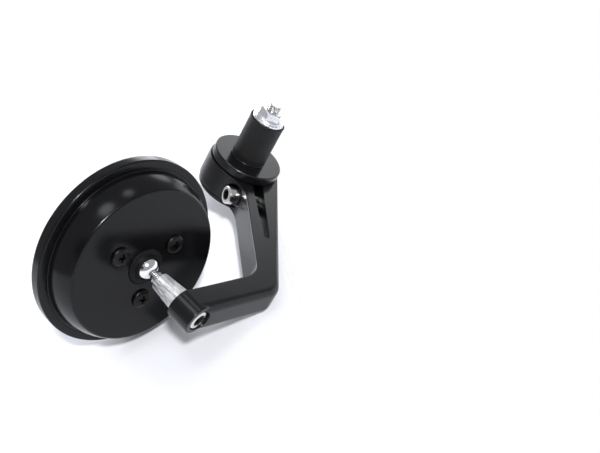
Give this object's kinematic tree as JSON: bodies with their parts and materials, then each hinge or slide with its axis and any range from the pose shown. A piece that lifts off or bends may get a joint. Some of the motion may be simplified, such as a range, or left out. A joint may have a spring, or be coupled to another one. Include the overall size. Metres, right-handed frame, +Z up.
{
  "type": "motorcycle bar end mirror",
  "caption": "Round black rear-view mirror on a ball joint, held by a bent clamp arm on an expanding plug for the end of a handlebar.",
  "frame": {"origin": "centre of the flange face that meets the end of the handlebar, on the plug's axis", "axes": "+Z up the plug into the handlebar, +X along the straight part of the arm, the mirror head towards -Y"},
  "size_m": [0.1344, 0.1083, 0.0849],
  "materials": {
    "black_anodised": "satin black anodised aluminium",
    "steel": "bright stainless steel",
    "zinc_plated": "bright zinc plated steel",
    "rubber": "matt black rubber",
    "turned_aluminium": "bright turned aluminium",
    "chrome": "polished chrome",
    "black_nylon": "satin black nylon",
    "black_steel": "black oxide steel",
    "silvered_glass": "polished convex mirror"
  },
  "bodies": {
    "root": {"hub": "black_anodised", "end_cap": "black_anodised", "through_bolt": "steel", "plug_rubber": "rubber", "plug_washer": "zinc_plated", "flange_nut": "zinc_plated"},
    "arm": {"arm": "black_anodised", "pinch_screw": "steel", "pinch_lock_washer": "steel", "pinch_washer": "zinc_plated", "arm_screw": "steel", "cone_sleeve": "turned_aluminium", "ball_stud": "chrome"},
    "pad": {"friction_pad": "black_nylon"},
    "cup": {"pressure_cup": "steel"},
    "head": {"housing": "black_anodised", "bezel": "black_anodised", "mirror_glass": "silvered_glass", "glass_gasket": "rubber", "ball_socket": "black_nylon", "spring_washer": "steel", "retainer": "steel", "head_screw_1": "black_steel", "head_screw_2": "black_steel", "head_screw_3": "black_steel"}
  },
  "joints": [
    {"name": "arm_swing", "type": "hinge", "parent": "root", "child": "arm", "pos_m": [0, 0, 0], "axis": [0, 0, 1], "continuous": true},
    {"name": "head_swing", "type": "hinge", "parent": "arm", "child": "pad", "pos_m": [0.08902, -0.04783, -0.0112], "axis": [0, 0, 1], "range_deg": [-11.6, 32.4]},
    {"name": "head_lift", "type": "hinge", "parent": "pad", "child": "cup", "pos_m": [0.08902, -0.04783, -0.0112], "axis": [-0.5344, 0.8453, 0], "range_deg": [-6.5, 37.5]},
    {"name": "head_spin", "type": "hinge", "parent": "cup", "child": "head", "pos_m": [0.08902, -0.04783, -0.0112], "axis": [0.8145, 0.5149, 0.2672], "continuous": true}
  ]
}
